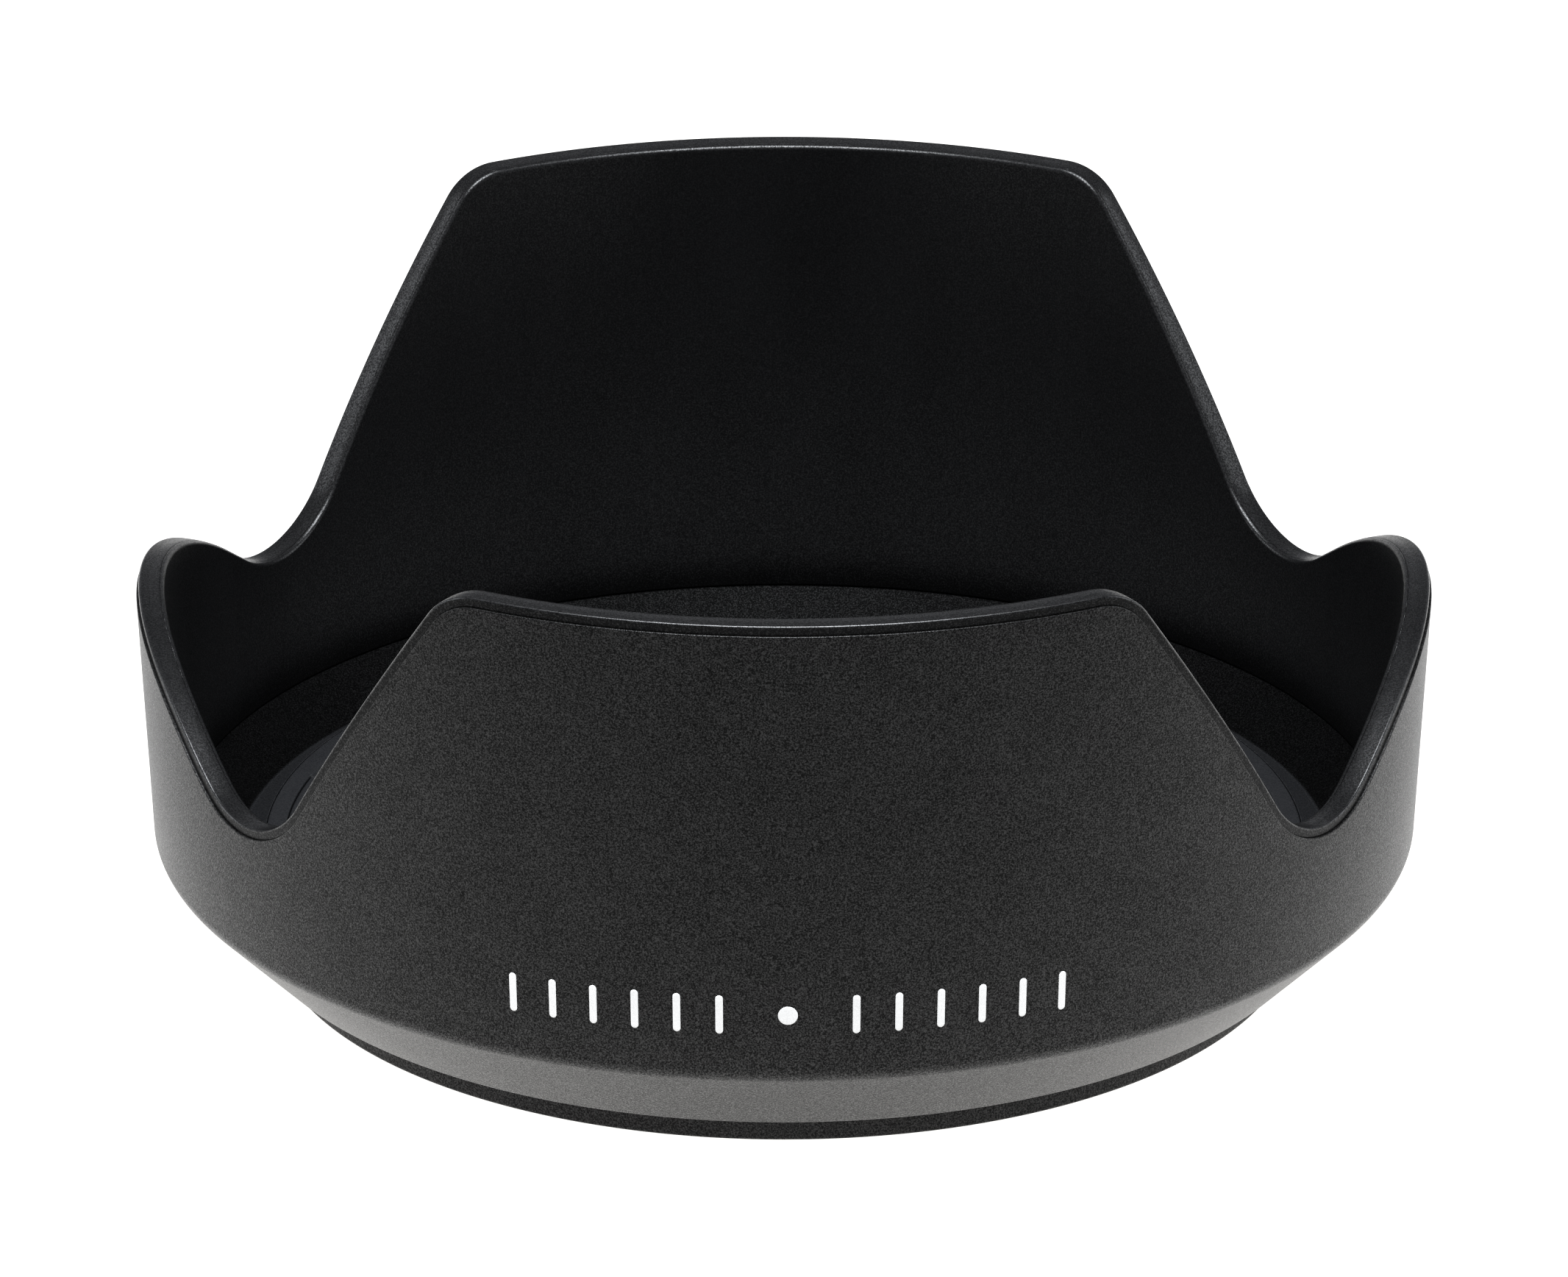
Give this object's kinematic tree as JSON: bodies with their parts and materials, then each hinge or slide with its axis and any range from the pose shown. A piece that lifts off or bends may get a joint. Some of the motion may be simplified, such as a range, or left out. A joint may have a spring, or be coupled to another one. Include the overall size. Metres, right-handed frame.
{
  "type": "lens hood",
  "caption": "Petal-shaped lens hood: flared barrel with two long and two short petals, chamfered foot, sloped baffle floor and an inset bayonet ring with inner lugs.",
  "frame": {"origin": "centre of the mounting end's lower face, on the optical axis", "axes": "+Z along the optical axis from the lens towards the subject; the long petals lie on -Y and +Y, the short petals on -X and +X"},
  "size_m": [0.0722, 0.0736, 0.0336],
  "materials": {
    "textured_skin": "black plastic with a fine spark-eroded texture",
    "satin_liner": "smooth satin black plastic, faintly blue on the rim",
    "matte_baffle": "fine matte anti-glare black",
    "moulded_bayonet": "plain moulded black plastic"
  },
  "bodies": {
    "root": {"outer_shell": "textured_skin", "inner_liner": "satin_liner", "baffle_ring": "matte_baffle", "bayonet_ring": "moulded_bayonet", "bayonet_lug_1": "moulded_bayonet", "bayonet_lug_2": "moulded_bayonet", "bayonet_lug_3": "moulded_bayonet", "bayonet_lug_4": "moulded_bayonet"}
  },
  "joints": []
}
